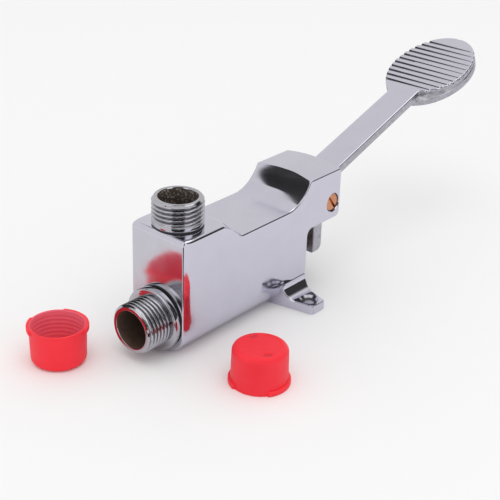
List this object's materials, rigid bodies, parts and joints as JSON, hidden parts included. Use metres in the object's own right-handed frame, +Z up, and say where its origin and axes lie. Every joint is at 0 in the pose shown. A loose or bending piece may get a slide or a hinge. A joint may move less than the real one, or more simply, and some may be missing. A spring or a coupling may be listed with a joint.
{
  "type": "foot pedal tap valve",
  "caption": "Chromed floor valve with a threaded inlet in front, a threaded outlet on top and a hinged grooved pedal that opens a spring-closed stem; red thread caps stand beside it.",
  "frame": {"origin": "on the floor, midway between the two floor screws", "axes": "+X from the inlet to the pedal, +Y to the side of the inlet's loose cap, +Z up"},
  "size_m": [0.2586, 0.0917, 0.0833],
  "materials": {
    "chrome": "polished chrome plate on cast brass",
    "raw_brass": "turned, unplated",
    "copper": "copper-coloured screw, satin",
    "rubber": "moulded, dull",
    "spring_steel": "drawn wire",
    "red_plastic": "thin moulded polyethylene, slightly translucent"
  },
  "bodies": {
    "valve": {"valve_body": "chrome", "inlet_nipple": "chrome", "inlet_washer": "rubber", "outlet_nipple": "chrome", "outlet_washer": "rubber", "seat_ring": "raw_brass", "closing_spring": "spring_steel", "front_packing": "rubber", "rear_packing": "rubber", "gland_washer": "raw_brass", "gland_nut": "raw_brass", "pivot_screw": "copper"},
    "stem": {"valve_stem": "raw_brass", "valve_disc": "raw_brass", "seat_washer": "rubber", "disc_nut": "raw_brass"},
    "pedal": {"pedal_lever": "chrome", "pivot_bush": "raw_brass"},
    "inlet_cap": {"inlet_cap": "red_plastic"},
    "outlet_cap": {"outlet_cap": "red_plastic"}
  },
  "joints": [
    {"name": "pedal_hinge", "type": "hinge", "parent": "valve", "child": "pedal", "pos_m": [0.0254, 0, 0.0383], "axis": [0, 1, 0], "range_deg": [0, 10], "stiffness_Nm_per_rad": 4, "springref_deg": -11.46},
    {"name": "stem_slide", "type": "slide", "parent": "valve", "child": "stem", "axis": [-1, 0, 0], "range_m": [0, 0.0044], "deforming": ["closing_spring"]},
    {"name": "inlet_cap_lift", "type": "slide", "parent": "valve", "child": "inlet_cap", "axis": [0, 0, 1], "range_m": [0, 0.06]},
    {"name": "outlet_cap_lift", "type": "slide", "parent": "valve", "child": "outlet_cap", "axis": [0, 0, 1], "range_m": [0, 0.06]}
  ],
  "couplings": [
    {"joint": "stem_slide", "follows": "pedal_hinge", "m_per_rad": 0.0251}
  ]
}
